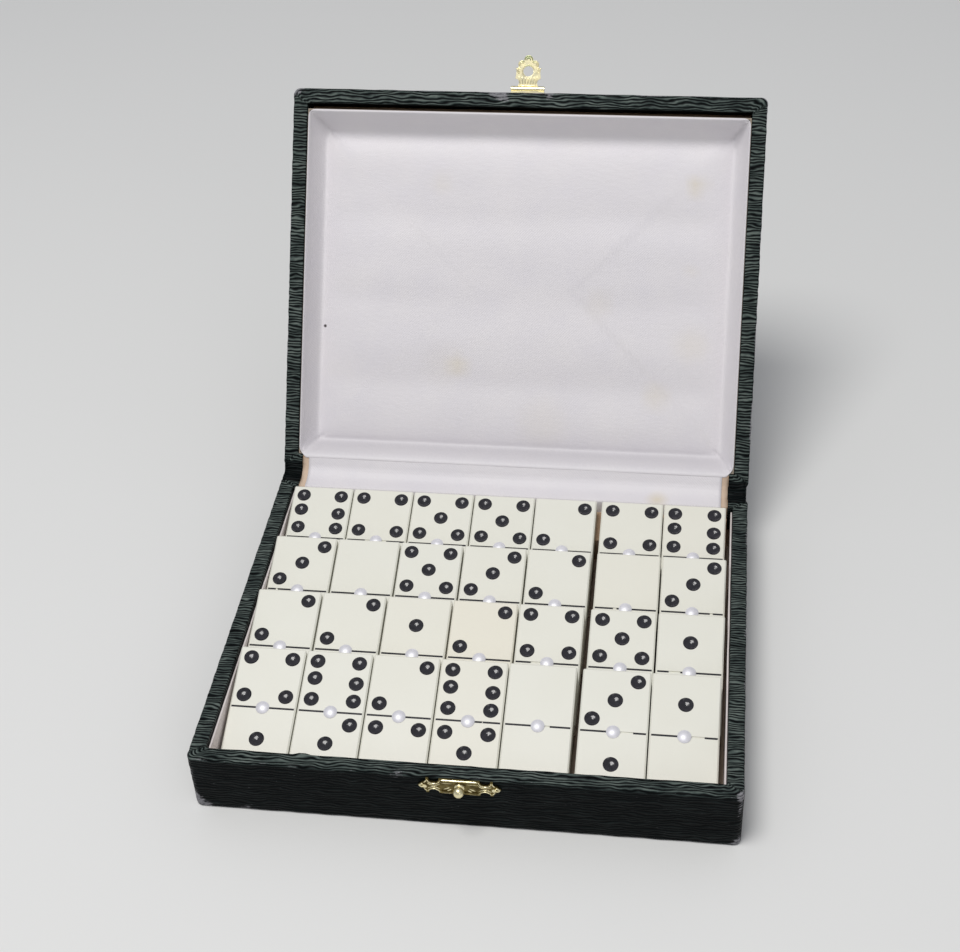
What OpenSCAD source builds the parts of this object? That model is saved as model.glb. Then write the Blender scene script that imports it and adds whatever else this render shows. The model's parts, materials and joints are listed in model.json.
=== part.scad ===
// Domino storage box: a shallow leatherette case with a padded, satin-lined lid on a cloth hinge.
// Twenty-eight dominoes lie inside in four shingled rows of seven.
// Millimetres, +Z up. The origin is the centre of the underside; the catch faces -Y.

/* [Dominoes] */
// Length of a domino
tile_l = 45.5; // [40:0.5:54]
// Width of a domino
tile_w = 22.9; // [20.5:0.1:27]
// Thickness of a domino
tile_t = 8.7; // [7:0.1:11]
// Chamfer along every edge of a domino
tile_ease = 0.5; // [0.2:0.1:0.9]
// Diameter of a pip dish
pip_d = 5.2; // [4:0.1:6]
// Depth of a pip dish
pip_depth = 0.9; // [0.5:0.1:1.5]
// From the side of a domino to the middle of its outer pips
pip_side = 4.2; // [3.4:0.1:4.8]
// From the end of a domino to the middle of its outer pips
pip_end = 4.1; // [3.4:0.1:4.8]
// From the middle line of a domino to the middle of the nearest pips
pip_mid = 4.4; // [4.2:0.1:5.2]
// Width of the engraved middle line
line_w = 0.7; // [0.4:0.1:1.2]
// Depth of the engraved middle line
line_depth = 0.35; // [0.2:0.05:0.8]
// Distance from the side of a domino to the end of its middle line
line_inset = 0.6; // [0.6:0.1:4]
// Diameter of the spinner pin's domed head
pin_head_d = 4.6; // [4:0.1:6]
// Height of the spinner pin's domed head
pin_head_h = 0.9; // [0.5:0.1:1.5]
// Diameter of the spinner pin's shank
pin_shank_d = 2; // [1.4:0.1:3]
// Length of the spinner pin's shank
pin_shank_l = 4; // [2:0.1:5]

/* [Packing] */
// Tilt of the shingled dominoes
tile_tilt = 17.6; // [15:0.1:23]
// Gap between two dominoes of a middle row
col_gap = 0.65; // [0.65:0.05:1.5]
// Extra gap after the fifth column
wide_gap = 1.6; // [0:0.1:3]
// How far the ends of the rear and front rows, which lie closer together, stand in from the middle rows' ends
row_draw = 0.6; // [0:0.05:0.6]
// Forward slip of the last two columns in the two front rows
col_slip = 0.4; // [0:0.1:0.5]
// Clearance between a domino and the one that lies on it
face_gap = 0.12; // [0.1:0.01:0.3]
// Room beside the first column
room_left = 0.6; // [0.5:0.1:4]
// Room beside the last column
room_right = 1.4; // [0.5:0.1:6]
// Room at the front and at the rear of the shingled rows
end_room = 0.6; // [0.6:0.1:4]
// Depth of the batten that holds up the rear row
rest_w = 12; // [6:0.5:24]

/* [Base] */
// Height of the base with its covering
base_h = 23.5; // [21:0.5:32]
// Thickness of the wooden walls
wall_t = 4.4; // [3:0.1:7]
// Thickness of the bottom board
board_t = 2.5; // [2:0.1:5]
// Radius of the upright corners
corner_r = 2.5; // [1.5:0.1:5]
// Chamfer along the outer edge of both rims
rim_ease = 0.8; // [0.3:0.1:0.9]

/* [Lid] */
// Height of the lid with its covering
lid_h = 19; // [18:0.5:28]
// Thickness of the lid's board
lid_board_t = 2.5; // [2:0.1:4]
// Angle between the closed and the fully open lid
lid_open = 124; // [100:1:135]
// Distance of the hinge line behind the rear faces
hinge_back = 1.9; // [1.6:0.1:3]
// Gap between the two rims when the lid is closed
seam_gap = 0.4; // [0.2:0.1:1]
// Thickness of the card tray that carries the padding
tray_t = 0.6; // [0.4:0.1:1.2]
// How far the tray's edge lies below the lid's rim
tray_drop = 1.2; // [0.9:0.1:4]
// Gap between the tray and the lid's front wall
tray_front_gap = 2; // [0.5:0.1:3]
// Thickness of the wadding under the satin
wadding_t = 3.4; // [2:0.1:5]

/* [Cloth and paper] */
// Thickness of the leatherette
cover_t = 0.6; // [0.4:0.1:0.8]
// How far the leatherette is turned down inside the rims
turn_in = 11; // [5:0.5:14]
// How far the leatherette is turned in under the bottom
turn_under = 12; // [5:0.5:30]
// Thickness of the paper under the bottom
paper_t = 0.3; // [0.2:0.1:0.8]
// Thickness of the band that lines the base
liner_t = 0.5; // [0.3:0.1:1]
// How far the band's edge lies below the base's rim
liner_drop = 2.2; // [0.5:0.1:5]
// Bend radius of the band in the front corners
liner_bend = 1.5; // [1.2:0.1:1.6]
// Thickness of the lining on the floor
lining_t = 0.4; // [0.2:0.1:1]
// Thickness of the satin
satin_t = 0.4; // [0.2:0.1:0.6]
// From the side of the box to the edge of the satin hinge strip
strip_inset = 10; // [9:0.5:30]
// Width of the bare wood beside the hinge strip
bare_w = 2.5; // [1:0.5:3]
// How far the hinge strip runs down inside the base and the lid
strip_tuck = 10; // [5:0.5:14]
// Thickness of the leatherette spine behind the hinge
spine_t = 0.5; // [0.3:0.1:1]
// Glued width of the spine on each rear face, with the free part
spine_tab = 9; // [6:0.5:14]
// Free width of the spine on each side of the hinge line
spine_free = 3; // [2.5:0.1:4.5]

/* [Catch] */
// Distance of the knob below the base's rim
knob_drop = 3.9; // [3.9:0.1:8]
// Diameter of the knob
knob_d = 3.6; // [2.4:0.1:3.6]
// Diameter of the knob's neck
neck_d = 2.2; // [1.4:0.1:2.2]
// Distance of the knob's middle in front of its plate
knob_stand = 2.1; // [2.1:0.1:3.5]
// Thickness of the stamped brass plates
plate_t = 0.6; // [0.4:0.1:1]
// Height of the raised bars and rims on the brass plates
emboss_h = 0.35; // [0.2:0.05:0.35]
// Width of the catch plate over its pointed ends
catch_w = 27; // [25:0.5:36]
// Height of the catch plate
catch_h = 6.5; // [6:0.1:7.4]
// Width of the straight middle of the catch plate
catch_mid_w = 13.2; // [9:0.1:14]
// Diameter of the half-round notches in the catch plate
notch_d = 3.4; // [2:0.1:3.6]
// Width of the hasp's plate on the lid
hasp_plate_w = 12.6; // [11:0.1:18]
// Height of the hasp's plate below its scalloped edge
hasp_plate_h = 5; // [4.5:0.1:7]
// Distance from the hasp's hinge pin to the middle of its hole
hasp_reach = 6.6; // [6.6:0.1:9]
// Thickness of the hasp
hasp_t = 0.7; // [0.5:0.1:0.9]
// Width of the hasp's knuckle
knuckle_w = 7.3; // [5:0.1:8]
// Outer radius of the knuckle and of the curls beside it
knuckle_r = 1.1; // [1:0.05:1.4]
// Diameter of the hasp's hinge pin
hinge_pin_d = 1; // [0.6:0.1:1.2]
// Shank diameter of the brass nails
nail_d = 0.7; // [0.5:0.1:1]
// Length of the brass nails
nail_l = 3; // [2:0.1:3.5]

/* [Hidden] */
$fn = 48;
ROWS = 4;
COLS = 7;
WIDE_AFTER = 5;

// Upper and lower value of each domino, row by row from the rear, column by column from the left
TILES = [
  [[6, 1], [4, 0], [5, 5], [5, 0], [2, 5], [4, 4], [6, 6]],
  [[3, 3], [0, 3], [5, 1], [3, 4], [2, 2], [0, 6], [3, 5]],
  [[2, 0], [2, 3], [1, 1], [2, 6], [4, 6], [5, 4], [1, 2]],
  [[4, 1], [6, 3], [2, 4], [6, 5], [0, 0], [3, 1], [1, 0]]
];
// Places of the pips of each value, in steps from the middle of the half: right, up
PIPS = [
  [],
  [[0, 0]],
  [[1, 1], [-1, -1]],
  [[1, 1], [0, 0], [-1, -1]],
  [[1, 1], [-1, 1], [1, -1], [-1, -1]],
  [[1, 1], [-1, 1], [1, -1], [-1, -1], [0, 0]],
  [[1, 1], [-1, 1], [1, -0.08], [-1, 0.1], [1, -1], [-1, -1]]
];

function tile_name(r, c) = str("tile_r", r, "_c", c);

// Clearances
fit_gap = 0.03;     // round a pressed shank or nail
turn_gap = 0.06;    // round the hinge pin, in the hasp
glue_gap = 0.05;    // between a glued strip and what it is glued to
part_gap = 0.1;     // between the tray and the lid, and between the strip and the tray
rest_gap = 0.1;     // under the dominoes' lower ends
through = 1;        // how far a cutting tool runs past a face

// Shingled rows: each domino lies on the one behind it and stands on the floor
row_pitch = (tile_t + face_gap) / sin(tile_tilt);
tile_run = tile_l * cos(tile_tilt);
tile_lean = tile_t * sin(tile_tilt);
stack_d = tile_run + (ROWS - 1) * row_pitch + tile_lean;
stack_w = COLS * tile_w + (COLS - 1) * col_gap + wide_gap;

// The box is sized by what it holds
rim_w = wall_t + 2 * cover_t;
inner_w = stack_w + room_left + room_right;
box_w = inner_w + 2 * (liner_t + rim_w);
rear_layers = cover_t + wall_t + satin_t + glue_gap;
box_d = rear_layers + end_room + stack_d + end_room + liner_t + rim_w;

front_y = -box_d / 2;
rear_y = box_d / 2;
rear_wood_y = rear_y - cover_t - wall_t;
strip_y = rear_y - rear_layers;
cavity_w = box_w - 2 * rim_w;
cavity_d = box_d - 2 * rim_w;
strip_w = box_w - 2 * strip_inset;
bare_half = strip_w / 2 + bare_w;

board_z = paper_t + cover_t;
wall_z = board_z + board_t;
floor_z = wall_z + lining_t;
wood_top_z = base_h - cover_t;
tile_z = floor_z + rest_gap;
first_row_y = strip_y - end_room - tile_run;
first_col_x = -inner_w / 2 + room_left + tile_w / 2;

// Lid, described with its mouth up: z = 0 is its outer face and z = lid_h its rim
seam_z = base_h + seam_gap;
lid_top_z = seam_z + lid_h;
hinge_y = rear_y + hinge_back;
hinge_z = base_h + seam_gap / 2;
lid_wall_z = cover_t + lid_board_t;
tray_w = cavity_w - 2 * part_gap;
tray_rear_y = rear_wood_y - glue_gap - satin_t - 2 * part_gap;
tray_front_y = front_y + rim_w + tray_front_gap;
tray_top_z = lid_h - tray_drop;
pad_z = lid_wall_z + tray_t;
satin_z = pad_z + wadding_t;

// Catch
knob_z = base_h - knob_drop;
pivot_z = knob_z + hasp_reach;
curl_sink = 0.2;
pivot_y = front_y - plate_t - knuckle_r + curl_sink;
hole_gap = 0.12;
hasp_hole_r = knob_d / 2 + hole_gap;
curl_gap = 0.15;
curl_x = knuckle_w / 2 + curl_gap;
bar_h = 0.7;
nail_head_d = 2 * nail_d;
nail_head_h = 0.45;
leaf_root = notch_d / 4;
leaf_w = (catch_w - catch_mid_w) / 2 - notch_d - leaf_root;
catch_nail_x = catch_mid_w / 2 + notch_d + leaf_root + nail_d / 2;
lobe_d = hasp_plate_w / 3;
hasp_plate_z = pivot_z - knuckle_r - 0.2;
hasp_nail_z = hasp_plate_z + hasp_plate_h;

// The place of a point [y, z] of the closed lid when the lid is open
function swung(p) =
  let (y = p[0] - hinge_y, z = p[1] - hinge_z, c = cos(lid_open), s = sin(lid_open))
  [hinge_y + y * c + z * s, hinge_z - y * s + z * c];

// ---- Shared shapes ----

module rounded_rect(w, d, r) {
  square([w - 2 * r, d], center = true);
  square([w, d - 2 * r], center = true);
  for (x = [-1, 1]) for (y = [-1, 1])
    translate([x * (w / 2 - r), y * (d / 2 - r)]) circle(r = r);
}

module slab(w, y0, y1, z0, z1) {
  translate([-w / 2, y0, z0]) cube([w, y1 - y0, z1 - z0]);
}

// A profile in [y, z], drawn out along X to the width w
module across(w) {
  translate([-w / 2, 0, 0]) rotate([90, 0, 90]) linear_extrude(w) children();
}

// A flat piece in [x, z] that stands on the face at y and grows towards -Y
module on_front(y, t) {
  translate([0, y, 0]) rotate([90, 0, 0]) linear_extrude(t) children();
}

// A round hole or shank along Y, from y0 to y1
module along_y(x, z, d, y0, y1) {
  translate([x, y0, z]) rotate([-90, 0, 0]) cylinder(d = d, h = y1 - y0);
}

// The block of the covered case, mouth up, with its rim's outer edge chamfered
module eased_block(h) {
  intersection() {
    linear_extrude(h) rounded_rect(box_w, box_d, corner_r);
    across(box_w) chamfered_side(box_d, h);
    rotate([0, 0, 90]) across(box_d) chamfered_side(box_w, h);
  }
}

module chamfered_side(w, h) {
  polygon([[-w / 2, 0], [w / 2, 0], [w / 2, h - rim_ease], [w / 2 - rim_ease, h],
           [-w / 2 + rim_ease, h], [-w / 2, h - rim_ease]]);
}

// Room inside the leatherette that the boards fill
module board_block(z0, z1) {
  translate([0, 0, z0]) linear_extrude(z1 - z0)
    rounded_rect(box_w - 2 * cover_t, box_d - 2 * cover_t, corner_r - cover_t);
}

// Leatherette of one half, mouth up: outer face, side faces, rim and turned-in edge.
// At the rear the rim stays bare under the satin hinge strip.
module leatherette(h) {
  difference() {
    eased_block(h);
    board_block(cover_t, h - cover_t);
    slab(cavity_w, -cavity_d / 2, cavity_d / 2, cover_t, h + through);
    slab(2 * bare_half, cavity_d / 2 - through, rear_y + through, h - cover_t, h + through);
  }
  difference() {
    slab(cavity_w + 2 * cover_t, -cavity_d / 2 - cover_t, cavity_d / 2 + cover_t, h - turn_in, h - cover_t);
    slab(cavity_w, -cavity_d / 2, cavity_d / 2, h - turn_in - through, h);
    slab(2 * bare_half, cavity_d / 2 - through, rear_y, h - turn_in - through, h);
  }
}

// A front or rear wooden wall, rounded at its outer corners as the covering is
module end_wall(y0, z0, z1) {
  intersection() {
    board_block(z0, z1);
    slab(box_w, y0, y0 + wall_t, z0, z1);
  }
}

module side_wall(side, z0, z1) {
  x0 = box_w / 2 - cover_t - wall_t;
  translate([side > 0 ? x0 : -x0 - wall_t, front_y + cover_t + wall_t, z0])
    cube([wall_t, box_d - 2 * (cover_t + wall_t), z1 - z0]);
}

// Moves a piece of the closed lid to where the open lid holds it
module opened() {
  translate([0, hinge_y, hinge_z]) rotate([-lid_open, 0, 0]) translate([0, -hinge_y, -hinge_z]) children();
}

// Turns a mouth-up piece over onto the base and opens it
module lid_place() {
  opened() translate([0, 0, lid_top_z]) mirror([0, 0, 1]) children();
}

// ---- Base ----

module base_bottom_board() {
  color("burlywood") board_block(board_z, wall_z);
}

module catch_holes() {
  along_y(0, knob_z, neck_d + 2 * fit_gap, front_y - plate_t - through, front_y + nail_l + fit_gap);
  for (s = [-1, 1])
    along_y(s * catch_nail_x, knob_z, nail_d + 2 * fit_gap, front_y - plate_t - through,
            front_y + nail_l + fit_gap);
}

module base_front_wall() {
  color("burlywood") difference() {
    end_wall(front_y + cover_t, wall_z, wood_top_z);
    catch_holes();
  }
}

module base_rear_wall() {
  color("burlywood") end_wall(rear_wood_y, wall_z, wood_top_z);
}

module base_left_wall() {
  color("burlywood") side_wall(-1, wall_z, wood_top_z);
}

module base_right_wall() {
  color("burlywood") side_wall(1, wall_z, wood_top_z);
}

module base_cover() {
  color([0.09, 0.14, 0.12]) difference() {
    translate([0, 0, paper_t]) leatherette(base_h - paper_t);
    slab(box_w - 2 * turn_under, front_y + turn_under, rear_y - turn_under, 0, board_z + through);
    catch_holes();
  }
}

module base_underside_paper() {
  paper_inset = 3;
  color([0.16, 0.15, 0.14]) {
    slab(box_w - 2 * paper_inset, front_y + paper_inset, rear_y - paper_inset, 0, paper_t);
    slab(box_w - 2 * turn_under, front_y + turn_under, rear_y - turn_under, 0, board_z);
  }
}

// Outline of the space inside the band: square at the rear, bent in the two front corners
module band_outline(w, y0, r) {
  translate([-w / 2, y0 + r]) square([w, cavity_d / 2 - part_gap - y0 - r]);
  translate([-w / 2 + r, y0]) square([w - 2 * r, 2 * r]);
  for (s = [-1, 1]) translate([s * (w / 2 - r), y0 + r]) circle(r = r);
}

module base_liner() {
  color([0.88, 0.84, 0.83])
    translate([0, 0, floor_z]) linear_extrude(base_h - liner_drop - floor_z) difference() {
      band_outline(cavity_w, -cavity_d / 2, liner_bend + liner_t);
      translate([0, through]) band_outline(cavity_w - 2 * liner_t, -cavity_d / 2 + liner_t - through, liner_bend);
    }
}

module base_floor_lining() {
  color([0.62, 0.52, 0.42]) slab(cavity_w, -cavity_d / 2, cavity_d / 2, wall_z, floor_z);
}

// Sloped batten that carries the upper ends of the rear row
module tile_rest() {
  y1 = strip_y - part_gap;
  y0 = y1 - rest_w;
  function under(y) = tile_z + (y - first_row_y) * tan(tile_tilt) - face_gap;
  color("burlywood") across(2 * bare_half - 2 * part_gap)
    polygon([[y0, floor_z], [y1, floor_z], [y1, under(y1)], [y0, under(y0)]]);
}

// Satin strip over both rear rims; it stops the lid when it pulls tight
module hinge_strip() {
  wood_y = rear_wood_y - glue_gap;
  face_y = wood_y - satin_t;
  edge_y = rear_y - cover_t;
  base_z0 = wood_top_z - strip_tuck;
  lid_z0 = seam_z + cover_t;
  color([0.85, 0.84, 0.88]) across(strip_w) polygon([
    [wood_y, base_z0], [wood_y, wood_top_z + glue_gap], [edge_y, wood_top_z + glue_gap],
    swung([edge_y, lid_z0 - glue_gap]), swung([wood_y, lid_z0 - glue_gap]), swung([wood_y, lid_z0 + strip_tuck]),
    swung([face_y, lid_z0 + strip_tuck]), swung([face_y, lid_z0 - glue_gap - satin_t]),
    swung([edge_y, lid_z0 - glue_gap - satin_t]), [edge_y, wood_top_z + glue_gap + satin_t],
    [face_y, wood_top_z + glue_gap + satin_t], [face_y, base_z0]
  ]);
}

// Leatherette spine: glued to both rear faces and free over the hinge line
module cover_spine() {
  y0 = rear_y + glue_gap;
  y1 = y0 + spine_t;
  color([0.09, 0.14, 0.12]) across(box_w - 2 * corner_r) polygon([
    [y0, base_h - spine_tab], [y0, base_h - spine_free],
    swung([y0, seam_z + spine_free]), swung([y0, seam_z + spine_tab]),
    swung([y1, seam_z + spine_tab]), swung([y1, seam_z + spine_free]),
    [y1, base_h - spine_free], [y1, base_h - spine_tab]
  ]);
}

// ---- Catch on the base ----

module catch_outline() {
  notch_x = catch_mid_w / 2 + notch_d / 2;
  root_x = catch_mid_w / 2 + notch_d + leaf_root;
  difference() {
    square([2 * root_x, catch_h], center = true);
    for (x = [-1, 1]) for (z = [-1, 1]) translate([x * notch_x, z * catch_h / 2]) circle(d = notch_d);
  }
  for (s = [-1, 1])
    polygon([[s * (root_x - leaf_root), -catch_h / 3], [s * (root_x + leaf_w / 2), -catch_h / 5],
             [s * (root_x + leaf_w), 0], [s * (root_x + leaf_w / 2), catch_h / 5],
             [s * (root_x - leaf_root), catch_h / 3]]);
}

module catch_plate() {
  bar_z = catch_h / 2 - 1.3 * bar_h;
  color("goldenrod") difference() {
    union() {
      translate([0, 0, knob_z]) on_front(front_y, plate_t) catch_outline();
      for (s = [-1, 1]) translate([0, 0, knob_z + s * bar_z])
        on_front(front_y - plate_t, emboss_h) square([catch_mid_w - 2 * bar_h, bar_h], center = true);
    }
    catch_holes();
  }
}

module catch_knob() {
  color("goldenrod") {
    along_y(0, knob_z, neck_d, front_y - plate_t - knob_stand, front_y + nail_l);
    translate([0, front_y - plate_t - knob_stand, knob_z]) sphere(d = knob_d);
  }
}

// A round-headed brass nail through a plate at the face front_y
module nail(x, z) {
  along_y(x, z, nail_d, front_y - plate_t - nail_head_h, front_y + nail_l);
  along_y(x, z, nail_head_d, front_y - plate_t - nail_head_h, front_y - plate_t);
}

module catch_plate_nails() {
  color("goldenrod") for (s = [-1, 1]) nail(s * catch_nail_x, knob_z);
}

// ---- Lid ----

module lid_top_board() {
  color("burlywood") lid_place() board_block(cover_t, lid_wall_z);
}

module hasp_nail_holes() {
  for (s = [-1, 1])
    along_y(s * lobe_d, hasp_nail_z, nail_d + 2 * fit_gap, front_y - plate_t - through,
            front_y + nail_l + fit_gap);
}

module lid_front_wall() {
  color("burlywood") difference() {
    lid_place() end_wall(front_y + cover_t, lid_wall_z, lid_h - cover_t);
    opened() hasp_nail_holes();
  }
}

module lid_rear_wall() {
  color("burlywood") lid_place() end_wall(rear_wood_y, lid_wall_z, lid_h - cover_t);
}

module lid_left_wall() {
  color("burlywood") lid_place() side_wall(-1, lid_wall_z, lid_h - cover_t);
}

module lid_right_wall() {
  color("burlywood") lid_place() side_wall(1, lid_wall_z, lid_h - cover_t);
}

module lid_cover() {
  color([0.09, 0.14, 0.12]) difference() {
    lid_place() leatherette(lid_h);
    opened() hasp_nail_holes();
  }
}

// Card tray inside the lid; it stands off the front wall by tray_front_gap
module lid_tray() {
  color([0.75, 0.68, 0.6]) lid_place() difference() {
    slab(tray_w, tray_front_y, tray_rear_y, lid_wall_z, tray_top_z);
    slab(tray_w - 2 * tray_t, tray_front_y + tray_t, tray_rear_y - tray_t, pad_z, lid_h);
  }
}

module lid_wadding() {
  side = tray_t + satin_t + part_gap;
  color([0.93, 0.92, 0.9]) lid_place()
    slab(tray_w - 2 * side, tray_front_y + side, tray_rear_y - side, pad_z, satin_z);
}

// Satin over the wadding, up the tray's walls and folded over their edges
module lid_satin() {
  wall = tray_t + satin_t;
  color([0.85, 0.84, 0.88]) lid_place() difference() {
    union() {
      slab(tray_w - 2 * tray_t, tray_front_y + tray_t, tray_rear_y - tray_t, satin_z, tray_top_z);
      slab(tray_w, tray_front_y, tray_rear_y, tray_top_z, tray_top_z + satin_t);
    }
    slab(tray_w - 2 * wall, tray_front_y + wall, tray_rear_y - wall, satin_z + satin_t, lid_h);
  }
}

// ---- Hasp on the lid ----

module hasp_plate() {
  color("goldenrod") opened() difference() {
    union() {
      on_front(front_y, plate_t) {
        translate([-hasp_plate_w / 2, hasp_plate_z]) square([hasp_plate_w, hasp_plate_h]);
        for (s = [-1, 0, 1]) translate([s * lobe_d, hasp_nail_z]) circle(d = lobe_d);
      }
      for (s = [-1, 1]) translate([s * (curl_x + hasp_plate_w / 2) / 2, pivot_y, pivot_z])
        rotate([0, 90, 0]) cylinder(r = knuckle_r, h = hasp_plate_w / 2 - curl_x, center = true);
    }
    translate([0, pivot_y, pivot_z]) rotate([0, 90, 0])
      cylinder(d = hinge_pin_d + 2 * fit_gap, h = hasp_plate_w + through, center = true);
    translate([0, pivot_y, pivot_z]) rotate([0, 90, 0])
      cylinder(r = knuckle_r + curl_gap, h = 2 * curl_x, center = true);
    hasp_nail_holes();
  }
}

module hasp_plate_nails() {
  color("goldenrod") opened() for (s = [-1, 1]) nail(s * lobe_d, hasp_nail_z);
}

module hasp_hinge_pin() {
  color("silver") opened() translate([0, pivot_y, pivot_z]) rotate([0, 90, 0])
    cylinder(d = hinge_pin_d, h = hasp_plate_w, center = true);
}

// The hasp's face: a fluted neck, a waist between two notches and five lobes round the hole
module hasp_outline() {
  waist = 2.35;
  shoulder = 3.6;
  half_w = 4.85;
  difference() {
    union() {
      translate([-knuckle_w / 2, 0]) square([knuckle_w, waist]);
      polygon([[-knuckle_w / 2, waist / 2], [knuckle_w / 2, waist / 2], [half_w, shoulder],
               [half_w - 0.4, hasp_reach], [0, hasp_reach + 3.2], [0.4 - half_w, hasp_reach], [-half_w, shoulder]]);
      translate([0, hasp_reach + 4.2]) circle(r = 1.75);
      for (s = [-1, 1]) {
        translate([s * 2.45, hasp_reach + 2.55]) circle(r = 1.5);
        translate([s * 3.2, hasp_reach + 0.3]) circle(r = 1.4);
      }
    }
    for (s = [-1, 1]) translate([s * half_w, waist]) circle(r = 1.45);
    translate([0, hasp_reach]) circle(r = hasp_hole_r);
  }
}

module hasp() {
  color("goldenrod") opened() translate([0, pivot_y, pivot_z]) difference() {
    union() {
      mirror([0, 1, 0]) translate([0, 0, -hasp_t / 2]) linear_extrude(hasp_t) hasp_outline();
      rotate([0, 90, 0]) cylinder(r = knuckle_r, h = knuckle_w, center = true);
    }
    rotate([0, 90, 0])
      cylinder(d = hinge_pin_d + 2 * turn_gap, h = knuckle_w + 2 * through, center = true);
  }
}

// ---- Dominoes ----

// A block with all twelve edges chamfered: three chamfered prisms crossed
module chamfered_rect(w, d) {
  e = tile_ease;
  polygon([[e - w / 2, -d / 2], [w / 2 - e, -d / 2], [w / 2, e - d / 2], [w / 2, d / 2 - e],
           [w / 2 - e, d / 2], [e - w / 2, d / 2], [-w / 2, d / 2 - e], [-w / 2, e - d / 2]]);
}

module tile_blank() {
  translate([0, tile_l / 2, tile_t / 2]) intersection() {
    translate([0, 0, -tile_t / 2]) linear_extrude(tile_t) chamfered_rect(tile_w, tile_l);
    across(tile_w) chamfered_rect(tile_l, tile_t);
    rotate([0, 0, 90]) across(tile_l) chamfered_rect(tile_w, tile_t);
  }
}

// A ball whose cap of diameter d and height h shows past a plane
function cap_r(d, h) = (d * d / 4 + h * h) / (2 * h);

// The pips of one half; half is 1 for the upper and -1 for the lower half
module pips(value, half) {
  step_x = tile_w / 2 - pip_side;
  step_y = (tile_l / 2 - pip_end - pip_mid) / 2;
  middle_y = tile_l / 2 + half * (pip_mid + step_y);
  r = cap_r(pip_d, pip_depth);
  for (p = PIPS[value])
    translate([p[0] * step_x, middle_y + p[1] * step_y, tile_t + r - pip_depth]) sphere(r = r);
}

module spinner_pin() {
  r = cap_r(pin_head_d, pin_head_h);
  translate([0, tile_l / 2, 0]) {
    translate([0, 0, tile_t - pin_shank_l]) cylinder(d = pin_shank_d, h = pin_shank_l + pin_head_h / 2);
    intersection() {
      translate([0, 0, tile_t + fit_gap + pin_head_h - r]) sphere(r = r);
      translate([0, 0, tile_t + fit_gap]) cylinder(d = pin_head_d + through, h = pin_head_h + through);
    }
  }
}

// One domino with its riveted pin, lying in its row and column
module tile(r, c) {
  slip = (r > 2 && c > WIDE_AFTER) ? col_slip : 0;
  draw = (r == 1 || r == ROWS ? row_draw : 0) * (1 - 2 * (c - 1) / (COLS - 1));
  x = first_col_x + (c - 1) * (tile_w + col_gap) + (c > WIDE_AFTER ? wide_gap : 0) + draw;
  y = first_row_y - (r - 1) * row_pitch - slip;
  values = TILES[r - 1][c - 1];
  translate([x, y, tile_z]) rotate([tile_tilt, 0, 0]) {
    color([0.9, 0.89, 0.84]) difference() {
      tile_blank();
      pips(values[0], 1);
      pips(values[1], -1);
      translate([0, tile_l / 2, tile_t])
        cube([tile_w - 2 * line_inset, line_w, 2 * line_depth], center = true);
      translate([0, tile_l / 2, tile_t - pin_shank_l - fit_gap])
        cylinder(d = pin_shank_d + 2 * fit_gap, h = pin_shank_l + through);
    }
    color("silver") spinner_pin();
  }
}

base_bottom_board();
base_front_wall();
base_rear_wall();
base_left_wall();
base_right_wall();
base_cover();
base_underside_paper();
base_liner();
base_floor_lining();
tile_rest();
hinge_strip();
cover_spine();
catch_plate();
catch_knob();
catch_plate_nails();
lid_top_board();
lid_front_wall();
lid_rear_wall();
lid_left_wall();
lid_right_wall();
lid_cover();
lid_tray();
lid_wadding();
lid_satin();
hasp_plate();
hasp_plate_nails();
hasp_hinge_pin();
hasp();
for (r = [1:ROWS]) for (c = [1:COLS])
  tile(r, c);
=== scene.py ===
import json
import math
from itertools import accumulate

import bmesh
import bpy
from mathutils import Matrix, Vector, noise


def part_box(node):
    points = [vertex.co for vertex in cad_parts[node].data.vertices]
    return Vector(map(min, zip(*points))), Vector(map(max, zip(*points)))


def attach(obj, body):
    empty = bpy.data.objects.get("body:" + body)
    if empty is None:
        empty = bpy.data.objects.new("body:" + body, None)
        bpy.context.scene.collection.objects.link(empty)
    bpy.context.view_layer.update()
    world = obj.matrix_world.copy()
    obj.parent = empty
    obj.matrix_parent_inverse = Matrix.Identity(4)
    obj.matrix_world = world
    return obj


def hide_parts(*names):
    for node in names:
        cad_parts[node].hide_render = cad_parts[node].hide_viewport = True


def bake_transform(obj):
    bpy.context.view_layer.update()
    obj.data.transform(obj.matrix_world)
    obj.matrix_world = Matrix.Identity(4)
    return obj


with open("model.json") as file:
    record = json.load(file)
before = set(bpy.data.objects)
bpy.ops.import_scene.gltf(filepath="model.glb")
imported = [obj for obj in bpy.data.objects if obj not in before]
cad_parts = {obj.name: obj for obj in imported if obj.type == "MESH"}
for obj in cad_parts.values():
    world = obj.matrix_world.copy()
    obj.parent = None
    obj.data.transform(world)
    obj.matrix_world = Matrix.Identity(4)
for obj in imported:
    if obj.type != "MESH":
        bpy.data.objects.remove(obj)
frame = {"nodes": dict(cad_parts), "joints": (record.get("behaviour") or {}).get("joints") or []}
scene = bpy.context.scene
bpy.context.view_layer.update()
MM = 0.001

# ---- Camera ----
# Above the front of the box and a little to its right, looking down past the catch into the open lid.
yaw, pitch, roll = (math.radians(a) for a in (9.24, 39.0, -3.04))
ahead = Vector((-math.sin(yaw) * math.cos(pitch), math.cos(yaw) * math.cos(pitch), -math.sin(pitch)))
level = Vector((math.cos(yaw), math.sin(yaw), 0))
rise = level.cross(ahead)
right = level * math.cos(roll) + rise * math.sin(roll)
top = rise * math.cos(roll) - level * math.sin(roll)
lens = bpy.data.cameras.new("camera")
lens.sensor_width, lens.sensor_fit, lens.lens = 36, "HORIZONTAL", 63.71
camera = bpy.data.objects.new("camera", lens)
camera.matrix_world = (Matrix.Translation(Vector((69.4, -426.5, 438.0)) * MM)
                       @ Matrix((right, top, -ahead)).transposed().to_4x4())
scene.collection.objects.link(camera)
scene.camera = camera

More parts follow.
